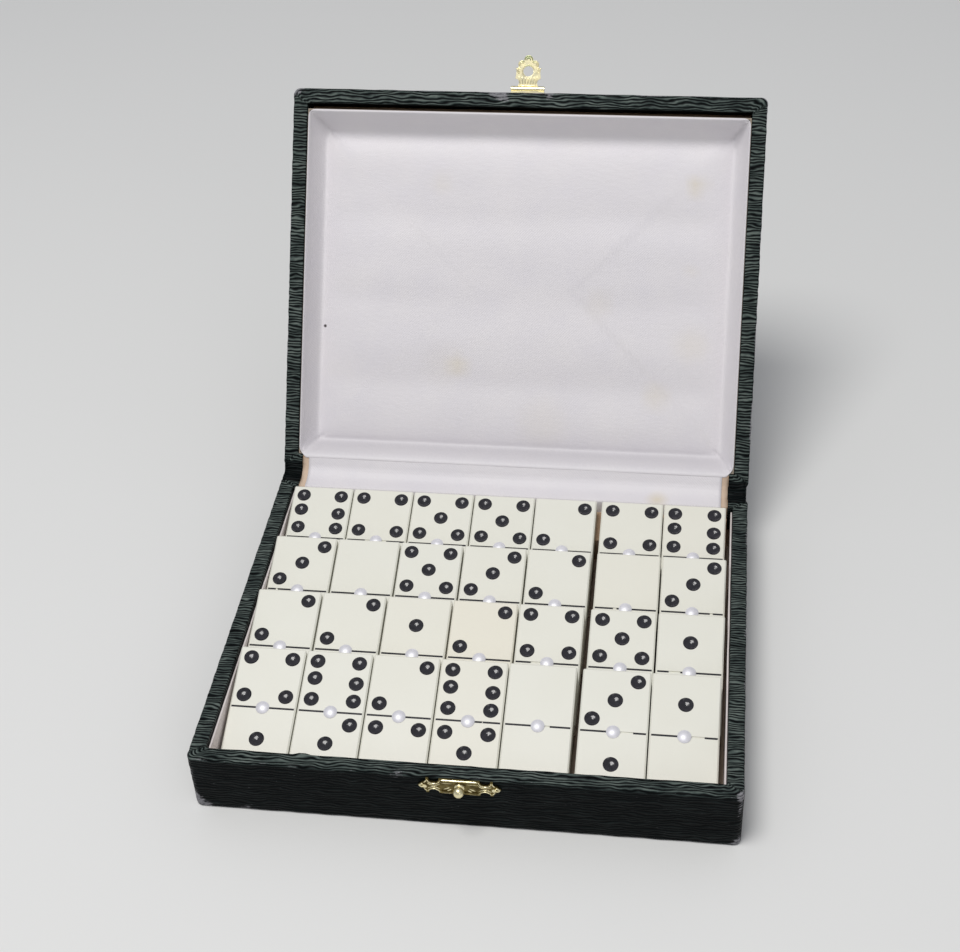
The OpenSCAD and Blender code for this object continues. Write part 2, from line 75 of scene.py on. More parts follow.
# ---- Floor and light ----
# A plain pale table under a wide soft lamp, with a second lamp low at the front and a pale room round it.
scene.view_settings.view_transform = "Standard"


def given(node, values):
    """Sets a node's inputs by their names."""
    for name, value in values.items():
        node.inputs[name].default_value = value


def soft_lamp(name, place, aim, size, power):
    light = bpy.data.lights.new(name, "AREA")
    light.shape, light.size, light.energy, light.color = "DISK", size, power, (1, 0.99, 0.97)
    lamp = bpy.data.objects.new(name, light)
    turn = (Vector(place) - Vector(aim)).to_track_quat("Z", "Y")
    lamp.matrix_world = Matrix.Translation(Vector(place)) @ turn.to_matrix().to_4x4()
    scene.collection.objects.link(lamp)


soft_lamp("lamp_over", (-0.25, -0.35, 1.5), (0, 0.02, 0.03), 0.7, 14.2)
soft_lamp("lamp_front", (0.7, -1.3, 0.75), (0, 0, 0.05), 0.7, 1.6)

room = bpy.data.worlds.new("room")
room.use_nodes = True
given(room.node_tree.nodes["Background"], {"Color": (0.93, 0.95, 1, 1), "Strength": 0.38})
scene.world = room


def new_material(name):
    made = bpy.data.materials.new(name)
    made.use_nodes = True
    return made, made.node_tree, made.node_tree.nodes["Principled BSDF"]


def finished(bm, name, material, smooth):
    """The bmesh as an object of its own, smooth except over edges sharper than smooth degrees."""
    mesh = bpy.data.meshes.new(name)
    bm.to_mesh(mesh)
    bm.free()
    if "custom_normal" in mesh.attributes:
        mesh.attributes.remove(mesh.attributes["custom_normal"])
    mesh.shade_smooth()
    mesh.set_sharp_from_angle(angle=math.radians(smooth))
    mesh.materials.append(material)
    made = bpy.data.objects.new(name, mesh)
    scene.collection.objects.link(made)
    return made


floor_finish, _, floor_shader = new_material("pale_table")
given(floor_shader, {"Base Color": (0.78, 0.78, 0.77, 1), "Roughness": 0.6})
bm = bmesh.new()
bmesh.ops.create_grid(bm, x_segments=1, y_segments=1, size=4)
floor = finished(bm, "floor", floor_finish, 30)

# ---- Leatherette ----
# One sheet of dark green embossed leatherette covers each half: round the sides, over the rim and inside.
# It is glued to the wood. Its pattern follows the sheet: along X on the front, across the rims at the sides.


def ramp(tree, source, stops):
    """A colour ramp read at source; stops are (place, colour)."""
    node = tree.nodes.new("ShaderNodeValToRGB")
    tree.links.new(source, node.inputs["Fac"])
    elements = node.color_ramp.elements
    while len(elements) < len(stops):
        elements.new(0.5)
    for element, (place, colour) in zip(elements, stops):
        element.position = place
        element.color = (*colour, 1)
    return node.outputs["Color"]


def attribute(tree, name, output="Fac"):
    node = tree.nodes.new("ShaderNodeAttribute")
    node.attribute_name = name
    return node.outputs[output]


def reader(tree, kind, vector, values):
    """A node of the kind that reads the vector."""
    node = tree.nodes.new(kind)
    given(node, values)
    tree.links.new(vector, node.inputs["Vector"])
    return node


def noise_node(tree, vector, scale, detail=2, rough=0.5):
    values = {"Scale": scale, "Detail": detail, "Roughness": rough}
    return reader(tree, "ShaderNodeTexNoise", vector, values).outputs["Fac"]


def wave(tree, vector, direction, scale, distortion, detail, detail_scale):
    values = {"Scale": scale, "Distortion": distortion, "Detail": detail, "Detail Scale": detail_scale}
    node = reader(tree, "ShaderNodeTexWave", vector, values)
    node.wave_type, node.bands_direction = "BANDS", direction
    return node.outputs["Fac"]


def stretched(tree, vector, scale):
    return reader(tree, "ShaderNodeMapping", vector, {"Scale": scale}).outputs["Vector"]


def object_place(tree):
    return tree.nodes.new("ShaderNodeTexCoord").outputs["Object"]


def times(tree, a, b, c=None, clamp=False):
    """a * b, or a * b + c; each is a socket or a number."""
    node = tree.nodes.new("ShaderNodeMath")
    node.operation, node.use_clamp = "MULTIPLY" if c is None else "MULTIPLY_ADD", clamp
    for socket, value in zip(node.inputs, (a, b, c)):
        if isinstance(value, (int, float)):
            socket.default_value = value
        elif value is not None:
            tree.links.new(value, socket)
    return node.outputs[0]


def mixed(tree, share, a, b):
    """The colour a giving way to b by share; each is a socket or a plain value."""
    node = tree.nodes.new("ShaderNodeMix")
    node.data_type = "RGBA"
    for socket, value in ((node.inputs["Factor"], share), (node.inputs[6], a), (node.inputs[7], b)):
        if isinstance(value, float):
            socket.default_value = value
        elif isinstance(value, tuple):
            socket.default_value = (*value, 1)
        else:
            tree.links.new(value, socket)
    return node.outputs[2]


def bumped(tree, shader, height, distance, strength):
    node = tree.nodes.new("ShaderNodeBump")
    given(node, {"Distance": distance, "Strength": strength})
    tree.links.new(height, node.inputs["Height"])
    tree.links.new(node.outputs["Normal"], shader.inputs["Normal"])


def coated(tree, shader, colour, rough):
    """Gives the shader its colour and its roughness, which is a socket or a number."""
    tree.links.new(colour, shader.inputs["Base Color"])
    if isinstance(rough, float):
        given(shader, {"Roughness": rough})
    else:
        tree.links.new(rough, shader.inputs["Roughness"])


leatherette, tree, shader = new_material("leatherette")
grain_at = attribute(tree, "grain", "Vector")
crest = wave(tree, stretched(tree, grain_at, (0.42, 1, 0)), "Y", 262, 9, 1.5, 1.1)
fibre = noise_node(tree, stretched(tree, grain_at, (0.12, 1, 0)), 2400, 3, 0.6)
patch = noise_node(tree, grain_at, 120, 3, 0.6)
# Partly painted light: the raised crinkles (the ridge attribute) and the wave's crests are painted paler and
# the grooves darker, partly the leatherette's own two-tone and partly painted highlight on the crests and
# painted shade in the grooves
pale = times(tree, patch, 1.5, 0.15)
pale = times(tree, pale, times(tree, fibre, 0.7, 0.65))
pale = times(tree, pale, times(tree, attribute(tree, "ridge"), 0.4, 0.75))
# Painted light: the next attribute keeps the ridges pale on top of the rims and paints them darker on the
# sides, as shade from the lamp above
pale = times(tree, pale, attribute(tree, "painted_light"))
skin = ramp(tree, times(tree, crest, pale), [
    (0.0, (0.0007, 0.0012, 0.0014)),
    (0.14, (0.0036, 0.0058, 0.0062)),
    (0.45, (0.0260, 0.0360, 0.0345)),
    (0.75, (0.0700, 0.0900, 0.0830)),
    (1.0, (0.1300, 0.1560, 0.1420)),
])
scuff = noise_node(tree, stretched(tree, grain_at, (0.5, 1, 0)), 1500, 4, 0.7)
rub = times(tree, scuff, 4.0, times(tree, crest, 0.7, -3.2))
rub = times(tree, attribute(tree, "wear"), 1.9, rub, clamp=True)
rub = times(tree, rub, times(tree, scuff, 1.2, 0.2), clamp=True)
skin = mixed(tree, rub, skin, (0.27, 0.265, 0.285))
coated(tree, shader, skin, 0.48)
given(shader, {"Specular IOR Level": 0.06})
bumped(tree, shader, times(tree, fibre, 0.15, crest), 0.00022, 0.85)


def layer(bm, name):
    """A number kept at each vertex, read by the materials."""
    return bm.verts.layers.float.new(name)


def grid_sheet(bm, columns, rows, place):
    """A sheet of columns x rows vertices, each put in its place by place(vertex, column, row)."""
    made = bmesh.ops.create_grid(bm, x_segments=columns - 1, y_segments=rows - 1, size=0.5)["verts"]
    for v in made:
        place(v, round((v.co.x + 0.5) * (columns - 1)), round((v.co.y + 0.5) * (rows - 1)))
    return made


def thickened(piece, thickness):
    """Gives a sheet its thickness, inwards from the face that is drawn."""
    thick = piece.modifiers.new("thickness", "SOLIDIFY")
    thick.thickness, thick.offset = thickness, -1


def outward(bm):
    """Turns all the faces to one side, which is the outside of a closed shape."""
    bmesh.ops.recalc_face_normals(bm, faces=bm.faces)


def joined(bm):
    """Merges the vertices that lie on one another."""
    bmesh.ops.remove_doubles(bm, verts=bm.verts, dist=1e-6)


low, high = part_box("base_cover")
half_w, half_d, base_h = (high.x - low.x) / 2, (high.y - low.y) / 2, high.z
corner_r, rim_w, skin_t = 2.5 * MM, 5.6 * MM, 0.35 * MM
turn_in, soft_r, rim_r = 11 * MM, 0.5 * MM, 0.8 * MM  # depth inside, and the bends below and over the rim
ridge_h = 0.2 * MM
side_painted_light = 0.2  # painted shade: how pale the ridges are painted on the sides, against 1 on top of the rims, which the lamp above lights
lid_h = 19 * MM
BARE = 82.5 * MM  # half the length of the rear rims that the hinge strip covers
slack = 1e-6  # room for rounding when points are compared


def soft_noise(x, y, z):
    return noise.noise(Vector((x, y, z)))


def crinkle(along, across):
    """Height of the slow waves under the embossed ridges, 0 to 1, drawn out along the grain."""
    broad = soft_noise(along * 130, across * 420, 3.7)
    small = soft_noise(along * 260, across * 800, 1.3)
    return min(1.0, max(0.0, 0.55 + 0.9 * (broad + 0.4 * small)))


def steps(n):
    return [k / n for k in range(1, n + 1)]


def side_profile(height, under, across, along):
    """The sheet's section, mouth up, as (inset, level, zone) from the underside round to the turned-in edge.
    across counts the fine steps over the ridges and along the coarse steps along them; each fine row is a
    whole share of a coarse one."""
    def sin(t):
        return math.sin(t * math.pi / 2)

    def cos(t):
        return math.cos(t * math.pi / 2)

    start = (under, 0.0, "under")
    parts = [  # fine steps, coarse steps, and the point at a share t of the part
        (3, 3, lambda t: (under + (soft_r - under) * t, 0.0, "under")),
        (3, 3, lambda t: (soft_r * (1 - sin(t)), soft_r * (1 - cos(t)), "rim")),
        (across[0], along[0], lambda t: (0.0, soft_r + (height - rim_r - soft_r) * t, "rim")),
        (4, 4, lambda t: (rim_r * (1 - cos(t)), height - rim_r + rim_r * sin(t), "rim")),
        (across[1], along[1], lambda t: (rim_r + (rim_w - soft_r - rim_r) * t, height, "rim")),
        (3, 3, lambda t: (rim_w - soft_r + soft_r * sin(t), height - soft_r + soft_r * cos(t), "rim")),
        (4, 4, lambda t: (rim_w, height - soft_r - (turn_in - soft_r) * t, "rim")),
    ]
    fine, coarse, cuts = [start], [start], []
    for n_fine, n_coarse, point in parts:
        fine += [point(t) for t in steps(n_fine)]
        coarse += [point(t) for t in steps(n_coarse)]
        cuts += [n_fine // n_coarse - 1] * n_coarse
    return fine, coarse, cuts


def running(section):
    """The length along a section at each of its points."""
    gaps = (math.hypot(b[0] - a[0], b[1] - a[1]) for a, b in zip(section, section[1:]))
    return list(accumulate(gaps, initial=0.0))


def cover(name, height, under, across, along, fine_step, long_step, top_sheet, wear_at):
    """The leatherette of one half, mouth up, as a closed skin with real ridges. wear_at(point) is how rubbed
    it is."""
    bm = bmesh.new()
    grain = bm.verts.layers.float_vector.new("grain")
    ridge = layer(bm, "ridge")
    wear = layer(bm, "wear")
    hold = layer(bm, "hold")
    painted_light = layer(bm, "painted_light")
    fine, coarse, cuts = side_profile(height, under, across, along)
    fine_arcs, coarse_arcs = running(fine), running(coarse)
    straight_x, straight_y = half_w - corner_r, half_d - corner_r
    n_y = round(2 * straight_y / fine_step)
    n_run = round(2 * BARE / long_step)
    runs = [-straight_x, -(straight_x + BARE) / 2]
    runs += [BARE * (k / n_run * 2 - 1) for k in range(n_run + 1)]
    runs += [(straight_x + BARE) / 2, straight_x]
    n_arc = 6
    stations = [("arc", -1, math.pi / 2 * (1 - k / n_arc)) for k in range(n_arc)]
    stations += [("run", x, 0) for x in runs]
    stations += [("arc", 1, math.pi / 2 * (k / n_arc)) for k in range(1, n_arc + 1)]
    lengths = [x * (straight_x + corner_r * angle) if kind == "arc" else x for kind, x, angle in stations]
    inner_r = 0.4 * MM

    def nest(x, y_share, direction, inset):
        """The point that lies inset inside the case, for a station at x or at a share of the side."""
        hw, hd = half_w - inset - inner_r, half_d - inset - inner_r
        if hw > BARE > abs(x):
            hw = x
        elif hw > BARE:
            hw = math.copysign(BARE + (abs(x) - BARE) * (hw - BARE) / (straight_x - BARE), x)
        else:
            hw *= x / straight_x
        return Vector((hw, hd * y_share, 0)) + direction * inner_r

    def laid(v, section, row, outer, x, y_share, direction, from_seam):
        """Puts a vertex on a row of the section for its station, and sets the share of the ridges' height
        that it takes: none at a seam, underneath or inside."""
        inset, z, zone = section[row]
        inner, below = (nest(x, y_share, direction, inset_) for inset_ in (rim_w, under))
        if top_sheet:
            below = Vector((x, y_share * straight_y, 0))
        flat = outer.lerp(inner, inset / rim_w) if zone == "rim" else outer.lerp(below, inset / under)
        v.co = flat + Vector((0, 0, z))
        seen = top_sheet or (zone == "rim" and len(section) - row > 4)
        v[hold] = min(1.0, from_seam / (1.2 * MM)) if seen else 0.0

    for side in (-1, 1):  # front and rear sheets, with the corners
        def place(v, i, j):
            kind, x, angle = stations[i]
            if kind == "arc":
                direction = Vector((x * math.sin(angle), side * math.cos(angle), 0))
                x *= straight_x
                outer = Vector((x, side * straight_y, 0)) + direction * corner_r
            else:
                direction = Vector((0, side, 0))
                outer = Vector((x, side * half_d, 0))
            from_seam = abs(abs(lengths[i]) - (straight_x + corner_r * math.pi / 2))
            laid(v, fine, j, outer, x, side, direction, from_seam)
            v[grain] = (lengths[i], fine_arcs[j], 0)

        grid_sheet(bm, len(stations), len(fine), place)
    for side in (-1, 1):  # left and right sheets
        def place(v, i, j):
            y = i / n_y * 2 - 1
            outer = Vector((side * half_w, y * straight_y, 0))
            laid(v, coarse, j, outer, side * straight_x, y, Vector((side, 0, 0)), (1 - abs(y)) * straight_y)
            v[grain] = (coarse_arcs[j] + 0.3, v.co.y + side * 0.2, 0)

        made = grid_sheet(bm, n_y + 1, len(coarse), place)
        ends = {}  # the seam edges by the number of cuts that make them meet the fine rows of the corners
        for edge in dict.fromkeys(e for v in made for e in v.link_edges if len(e.link_faces) == 1):
            a, b = edge.verts
            if abs(a.co.y) > 0.5 * half_d and abs(a[grain].x - b[grain].x) > 1e-9:
                low_arc = min(a[grain].x, b[grain].x) - 0.3
                k = min(range(len(coarse_arcs)), key=lambda n: abs(coarse_arcs[n] - low_arc))
                ends.setdefault(cuts[k], []).append(edge)
        for n_cuts, edges in ends.items():
            if n_cuts:
                bmesh.ops.subdivide_edges(bm, edges=edges, cuts=n_cuts)
    if top_sheet:
        def place(v, i, j):
            v.co = Vector((runs[i], (j / n_y * 2 - 1) * straight_y, 0))
            v[grain] = (v.co.x, v.co.y + 0.9, 0)
            v[hold] = 1

        grid_sheet(bm, len(runs), n_y + 1, place)
    bmesh.ops.remove_doubles(bm, verts=bm.verts, dist=2e-6)

    def bare(face):
        """Whether a face lies on the rear rim under the hinge strip, where the wood is left uncovered."""
        xs, ys, zs = zip(*(v.co for v in face.verts))
        if min(ys) <= half_d - rim_w - slack or max(abs(x) for x in xs) >= BARE + slack:
            return False
        on_top = min(zs) > height - rim_r - 0.01 * MM
        inside = max(ys) < half_d - rim_w + soft_r + 0.1 * MM
        return on_top or (inside and min(zs) > height - turn_in - 0.1 * MM)

    bmesh.ops.delete(bm, geom=[f for f in bm.faces if bare(f)], context="FACES")
    outward(bm)
    bm.normal_update()
    for v in bm.verts:
        h = crinkle(v[grain].x, v[grain].y)
        v[ridge] = h * v[hold] + (1 - v[hold]) * 0.6
        # Painted light: the ridges are painted at full paleness within 1.4 mm of the rim's top, and darker
        # everywhere lower down as the sides' shade
        top_share = min(1.0, max(0.0, 1 - (height - v.co.z) / (1.4 * MM)))
        v[painted_light] = side_painted_light + (1 - side_painted_light) * top_share
        v[wear] = wear_at(v.co)
        v.co += v.normal * (h - 1) * ridge_h * v[hold]
    made = finished(bm, name, leatherette, 60)
    thickened(made, skin_t)
    return made


def spots(point, places):
    """How strongly a point lies in a few rubbed places, each (x, y, z, radius, strength) in millimetres."""
    total = 0.0
    for x, y, z, radius, strength in places:
        gap = (point - Vector((x, y, z)) * MM).length / (radius * MM)
        total += strength * max(0.0, 1 - gap * gap)
    return min(1.0, total)


def rim_rub(point, rim_z):
    """Rubbing along the outer edge of a rim and on the upright corners."""
    past_x, past_y = abs(point.x) - half_w, abs(point.y) - half_d
    out = max(past_x, past_y) + 0.8 * MM
    near = max(0.0, 1 - abs(point.z - rim_z + 0.25 * MM) / (0.6 * MM)) * max(0.0, out / (0.8 * MM))
    scuffs = noise.noise(point * 95) + 0.4 * noise.noise(point * 400)
    corner = max(0.0, 1 - Vector((past_x, past_y)).length / (2.5 * MM))
    return min(1.0, near * max(0.0, scuffs + 0.2) * 1.9 + corner * max(0.0, scuffs + 0.15) * 1.5)


BASE_SPOTS = [
    (-89.8, -72.9, 1.6, 4.6, 1.5),
    (-86.5, -73.2, 0.4, 3.4, 1.1),
    (-89.9, -72.9, 5.5, 2.4, 0.9),
    (-72, -73.2, 0.5, 2.6, 0.7),
    (89.3, -72, 22.6, 2.5, 1.0),
    (-20, -73.4, 23.2, 3, 0.7),
    (-84, -73.4, 23.2, 2.4, 0.55),
    (88, -72, 0.5, 3, 0.8),
    (-88.5, 72, 1.5, 4, 0.8),
    (-55, -73.4, 23.2, 2.5, 0.5),
]
LID_SPOTS = [
    (-9, -72, 19, 3.2, 1.5),
    (-13, -72.8, 18.8, 2, 1.2),
    (9, -72, 19, 2, 1.2),
    (12, -72.8, 18.8, 1.4, 1.2),
    (-89, -72, 18, 3, 1.0),
    (89, -72, 1, 4, 1.0),
    (-89, 72, 1, 4, 1.0),
    (89, 72, 1, 4, 0.9),
    (-88, -72, 1, 4, 0.9),
]


def worn(point, rim_z, places):
    return min(1.0, rim_rub(point, rim_z) + spots(point, places))


under_gap = 0.3 * MM  # the skin's level over the table, left for the paper underneath
base_skin = cover("base_leatherette", base_h - under_gap, 12 * MM, (48, 10), (12, 5),
                  0.43 * MM, 2.1 * MM, False, lambda p: worn(p, base_h, BASE_SPOTS))
base_skin.data.transform(Matrix.Translation((0, 0, under_gap)))
for v in base_skin.data.vertices:  # a knot in the base cloth, on the inner edge of the front rim
    near = (v.co.xy - Vector((-52.2, -67.6)) * MM).length / (1.7 * MM)
    if near < 1 and v.co.z > base_h - 2 * MM:
        v.co += Vector((0, 0.6, 1.1)) * MM * (1 - near ** 2) ** 2
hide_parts("base_cover")
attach(base_skin, "base")

hinge = frame["joints"][0]
hinge_at = Vector((0, hinge["pos_m"][1], hinge["pos_m"][2]))
lid_top = base_h + 0.4 * MM + lid_h
opened = (Matrix.Translation(hinge_at) @ Matrix.Rotation(math.radians(hinge["range_deg"][0]), 4, "X")
          @ Matrix.Translation(-hinge_at))
lid_place = opened @ Matrix.Translation((0, 0, lid_top)) @ Matrix.Diagonal((1, 1, -1, 1))


def flipped_into_lid(piece):
    """Moves a mouth-up piece to the open lid; the mirror turns its faces, so they are turned back."""
    piece.data.transform(lid_place)
    piece.data.flip_normals()


lid_skin = cover("lid_leatherette", lid_h, corner_r, (36, 10), (9, 5),
                 0.52 * MM, 2.4 * MM, True, lambda p: worn(p, lid_h, LID_SPOTS))
flipped_into_lid(lid_skin)
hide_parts("lid_cover")
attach(lid_skin, "lid")


def swung(y, z):
    """Where a point of the closed lid's section is when the lid is open."""
    return (opened @ Vector((0, y, z))).yz


def section_sheet(name, material, half_x, columns, path, thickness, ridged=False, ripple=0.0, middle=0.0):
    """A sheet drawn across the box along X from a section of (y, z) points, and the section's length.
    ridged gives it the leatherette's ridges and bends it round the case's corners; ripple makes it uneven."""
    bm = bmesh.new()
    grain = bm.verts.layers.float_vector.new("grain")
    ridge = layer(bm, "ridge")
    painted_light = layer(bm, "painted_light")
    arcs = list(accumulate(((b - a).length for a, b in zip(path, path[1:])), initial=0.0))

    def place(v, i, j):
        x = (i / (columns - 1) * 2 - 1) * half_x + middle
        v.co = Vector((x, *path[j]))
        v[grain] = (x, arcs[j] + 0.5, 0)

    grid_sheet(bm, columns, len(path), place)
    outward(bm)
    bm.normal_update()
    for v in bm.verts:
        along, across, _ = v[grain]
        if ridged:
            h = crinkle(along, across)
            # The leatherette over the hinge takes the sides' painted shade
            v[ridge], v[painted_light] = h, side_painted_light
            past = max(0.0, abs(along) - half_w + corner_r)
            wrap = corner_r - math.sqrt(max(0.0, corner_r ** 2 - past ** 2))
            v.co += v.normal * ((h - 1) * ridge_h - wrap)
        if ripple:
            v.co += v.normal * ripple * soft_noise(along * 25, across * 220, 5.1)
    made = finished(bm, name, material, 60)
    thickened(made, thickness)
    return made, arcs[-1]


def filled(points, step):
    """A polyline with points no further apart than step."""
    out = [Vector(points[0])]
    for b in points[1:]:
        a = out[-1]
        n = max(1, math.ceil((Vector(b) - a).length / step))
        out += [a.lerp(Vector(b), t) for t in steps(n)]
    return out


def hinge_path(base_points, lid_points, step):
    """The section of a sheet over both rear rims, with points no further apart than step. The points are in
    millimetres from the rear face and from the base's rim, those on the lid as if it were closed."""
    points = [(rear + y * MM, base_h + z * MM) for y, z in base_points]
    points += [swung(rear + y * MM, base_h + z * MM) for y, z in lid_points]
    return filled(points, step)


rear = half_d
spine_path = hinge_path([(0.55, -9), (0.55, -3), (1.65, -1.5)],
                        [(1.65, 1.9), (0.55, 3.4), (0.55, 9.4)], 0.45 * MM)
spine, _ = section_sheet("spine_leatherette", leatherette, half_w - 0.6 * MM, 92, spine_path, 0.45 * MM,
                         ridged=True)
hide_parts("cover_spine")
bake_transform(spine)

# The skins of the two halves meet at the ends of the hinge in a short crumpled fold.
fold_path = hinge_path([(-2.6, -0.25), (-2.0, 0.12), (-0.3, 0.12), (0.6, -0.1), (1.4, 0.05)],
                       [(0.6, 0.5), (-0.3, 0.28), (-2.0, 0.28), (-2.6, 0.65)], 0.35 * MM)
fold_half = 3.4 * MM
for side, end in ((-1, "left"), (1, "right")):
    fold, _ = section_sheet(f"hinge_fold_{end}", leatherette, fold_half, 14, fold_path, 0.35 * MM,
                            ridged=True, ripple=0.35 * MM, middle=side * (BARE + fold_half))
    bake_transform(fold)

# ---- Wood, card and paper ----
# The case is a plain pale softwood frame with a thin bottom and lid board, glued up before it is covered.
# Thin paper hides the underside, a warm brown paper the floor, and grey-brown card carries the padding.
mottle = bpy.data.node_groups.new("mottle", "ShaderNodeTree")
for label, kind in (("Vector", "NodeSocketVector"), ("Light", "NodeSocketColor"), ("Dark", "NodeSocketColor"),
                    ("Scale", "NodeSocketFloat"), ("Contrast", "NodeSocketFloat")):
    mottle.interface.new_socket(label, in_out="INPUT", socket_type=kind)
mottle.interface.new_socket("Color", in_out="OUTPUT", socket_type="NodeSocketColor")
mottle.interface.new_socket("Mask", in_out="OUTPUT", socket_type="NodeSocketFloat")
entry = mottle.nodes.new("NodeGroupInput")
leave = mottle.nodes.new("NodeGroupOutput")
cloud = reader(mottle, "ShaderNodeTexNoise", entry.outputs["Vector"], {"Detail": 4})
mottle.links.new(entry.outputs["Scale"], cloud.inputs["Scale"])
spread = times(mottle, cloud.outputs["Fac"], 1, -0.5)
spread = times(mottle, spread, entry.outputs["Contrast"], 0.5, clamp=True)
blend = mixed(mottle, spread, entry.outputs["Light"], entry.outputs["Dark"])
mottle.links.new(blend, leave.inputs["Color"])
mottle.links.new(spread, leave.inputs["Mask"])


def mottled(tree, vector, light, dark, scale, contrast=2.0):
    """Soft patches of a light and a dark colour, and the share of the dark one."""
    group = tree.nodes.new("ShaderNodeGroup")
    group.node_tree = mottle
    tree.links.new(vector, group.inputs["Vector"])
    given(group, {"Light": (*light, 1), "Dark": (*dark, 1), "Scale": scale, "Contrast": contrast})
    return group.outputs["Color"], group.outputs["Mask"]


def paper_like(name, light, dark, scale, stretch=(1, 1, 1), rough=0.85, relief=0.00005):
    """A dry patchy material with fine fibres; relief is the height of the fibres in metres."""
    made, tree, shader = new_material(name)
    spot = stretched(tree, object_place(tree), stretch)
    colour, _ = mottled(tree, spot, light, dark, scale)
    fine = noise_node(tree, spot, scale * 9, 4, 0.7)
    colour = mixed(tree, times(tree, fine, 0.3), colour, dark)
    coated(tree, shader, colour, rough)
    bumped(tree, shader, fine, relief, 0.6)
    return made


wood = paper_like("box_wood", (0.56, 0.40, 0.27), (0.40, 0.26, 0.16), 130, (0.12, 1, 1), 0.7, 0.0001)
floor_paper = paper_like("lining_paper", (0.47, 0.37, 0.29), (0.34, 0.26, 0.195), 160)
under_paper = paper_like("underside_paper", (0.040, 0.042, 0.040), (0.022, 0.024, 0.023), 220)
card = paper_like("tray_card", (0.42, 0.36, 0.29), (0.30, 0.25, 0.20), 260)
wool = paper_like("wadding", (0.86, 0.84, 0.80), (0.74, 0.71, 0.66), 240, relief=0.0004)


def dressed(node, material):
    """Gives a CAD node that keeps its own shape its material."""
    mesh = frame["nodes"][node].data
    mesh.materials.clear()
    mesh.materials.append(material)


# Brown paper joins the two rear rims under the satin strip; a little of it shows past the strip's ends.
hinge_paper = paper_like("hinge_paper", (0.68, 0.53, 0.41), (0.55, 0.41, 0.30), 200)
paper_path = hinge_path([(-5.25, -8), (-5.25, -1.0), (-4.9, -0.58), (-0.9, -0.5), (0.5, -0.1)],
                        [(0.5, 0.5), (-0.9, 0.9), (-4.9, 0.98), (-5.25, 1.4), (-5.25, 8.4)], 0.7 * MM)
backing, backing_l = section_sheet("paper_hinge", hinge_paper, BARE - 0.15 * MM, 110, paper_path, 0.15 * MM,
                                   ripple=0.08 * MM)
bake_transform(backing)

for half in ("base", "lid"):
    for wall in ("front", "rear", "left", "right"):
        dressed(f"{half}_{wall}_wall", wood)
for node in ("base_bottom_board", "tile_rest", "lid_top_board"):
    dressed(node, wood)
dressed("base_floor_lining", floor_paper)
dressed("base_underside_paper", under_paper)
dressed("lid_tray", card)

# ---- Base liner ----
# A band of pinkish-white cloth on thin card, bent round the front corners and glued a little below the rim.
# Its top edge is soft and slightly uneven.
liner_cloth, tree, shader = new_material("liner_cloth")
spot = object_place(tree)
colour, _ = mottled(tree, spot, (0.88, 0.81, 0.80), (0.76, 0.69, 0.675), 120)
thread = noise_node(tree, stretched(tree, spot, (1, 1, 0.35)), 3200, 2)
colour = mixed(tree, times(tree, thread, 0.2), colour, (0.50, 0.43, 0.41))
coated(tree, shader, colour, 0.8)
bumped(tree, shader, thread, 0.00006, 0.6)

liner_low, liner_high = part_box("base_liner")
liner_t, bend_r = 0.6 * MM, 2.0 * MM
hw, y_front, y_rear = liner_high.x, liner_low.y, liner_high.y
bends = [math.pi / 2 * k / 7 for k in range(8)]
outline = [Vector((-hw, y_rear - k / 44 * (y_rear - y_front - bend_r))) for k in range(44)]
outline += [Vector((-hw + bend_r, y_front + bend_r)) - bend_r * Vector((math.cos(a), math.sin(a)))
            for a in bends]
outline += [Vector((-hw + bend_r + k / 60 * 2 * (hw - bend_r), y_front)) for k in range(1, 60)]
outline += [Vector((hw - bend_r, y_front + bend_r)) + bend_r * Vector((math.sin(a), -math.cos(a)))
            for a in bends]
outline += [Vector((hw, y_front + bend_r + k / 44 * (y_rear - y_front - bend_r))) for k in range(1, 45)]
levels = [0, 0.3, 0.6, 0.85, 0.95, 1]
bm = bmesh.new()


def place(v, i, j):
    p = outline[i]
    sag = 0.25 * MM * soft_noise(p.x * 45, p.y * 45, 2.2) - 0.15 * MM
    z = liner_low.z + (liner_high.z + sag - liner_low.z) * levels[j]
    inward = 0.12 * MM * (1 + soft_noise(p.x * 60, p.y * 60, 7)) * levels[j] ** 2
    pull = Vector((p.x / hw, (p.y - 3 * MM) / y_rear)).normalized() * inward
    v.co = Vector((p.x - pull.x, p.y - pull.y, z))


grid_sheet(bm, len(outline), len(levels), place)
outward(bm)
liner = finished(bm, "liner_band", liner_cloth, 70)
thickened(liner, liner_t)
soft = liner.modifiers.new("soft_edge", "BEVEL")
soft.width, soft.segments = 0.18 * MM, 2
band_l = sum((b - a).length for a, b in zip(outline, outline[1:]))
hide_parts("base_liner")
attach(liner, "base")

# ---- Satin lid lining ----
# One pad of wadding on card with white satin drawn over it, up the card's walls and over their edges.
# The satin is creased across the four corners and has aged to a lavender white with a few yellow stains.
satin, tree, shader = new_material("satin")
weave_at = attribute(tree, "weave", "Vector")
colour, _ = mottled(tree, weave_at, (0.775, 0.745, 0.765), (0.71, 0.685, 0.715), 26, 1.6)
warm, _ = mottled(tree, weave_at, (0.79, 0.76, 0.765), (0.715, 0.69, 0.73), 70, 2.2)
colour = mixed(tree, 0.4, colour, warm)
twill = wave(tree, weave_at, "DIAGONAL", 620, 1.2, 2, 1.5)
yarn = noise_node(tree, stretched(tree, weave_at, (0.2, 1, 1)), 5200, 2)
pucker = noise_node(tree, stretched(tree, weave_at, (0.45, 1, 1)), 760, 3, 0.55)
cloth_height = times(tree, yarn, 0.6, twill)
cloth_height = times(tree, pucker, 3.2, cloth_height)
